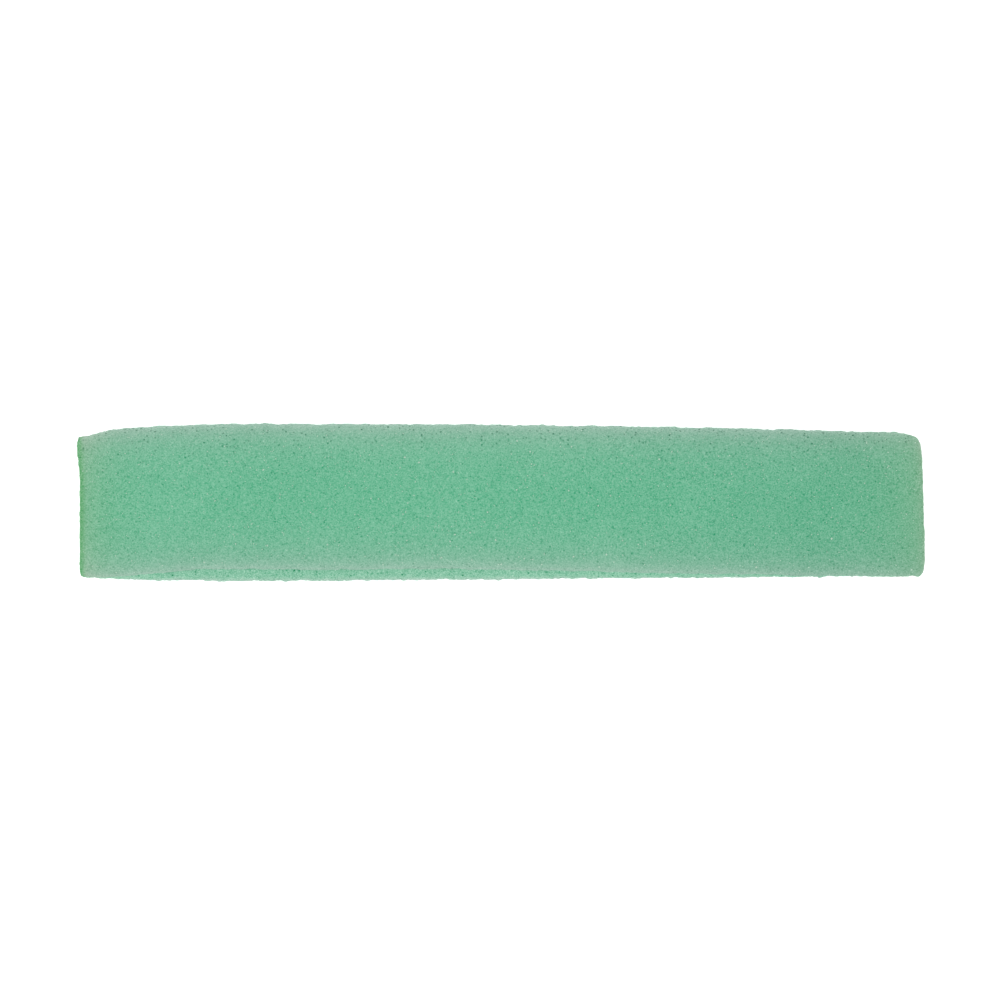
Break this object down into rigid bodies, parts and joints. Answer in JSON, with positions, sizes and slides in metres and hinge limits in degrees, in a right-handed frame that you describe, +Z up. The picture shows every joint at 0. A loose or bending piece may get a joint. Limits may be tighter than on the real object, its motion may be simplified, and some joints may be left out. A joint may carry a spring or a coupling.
{
  "type": "sanding stick",
  "caption": "Flexible foam sanding stick with an abrasive skin on both broad faces, rolled long edges and slightly skewed cut ends.",
  "frame": {"origin": "centre of the base, the plane that the stick lies on", "axes": "+X along the stick, +Y across it, +Z up through the upper working face"},
  "size_m": [0.0904, 0.0168, 0.01],
  "materials": {
    "foam": "matte",
    "bond_coat": "satin",
    "grit": "matte"
  },
  "bodies": {
    "root": {"foam_core": "foam", "upper_bond_coat": "bond_coat", "upper_grit_layer": "grit", "lower_bond_coat": "bond_coat", "lower_grit_layer": "grit"}
  },
  "joints": []
}
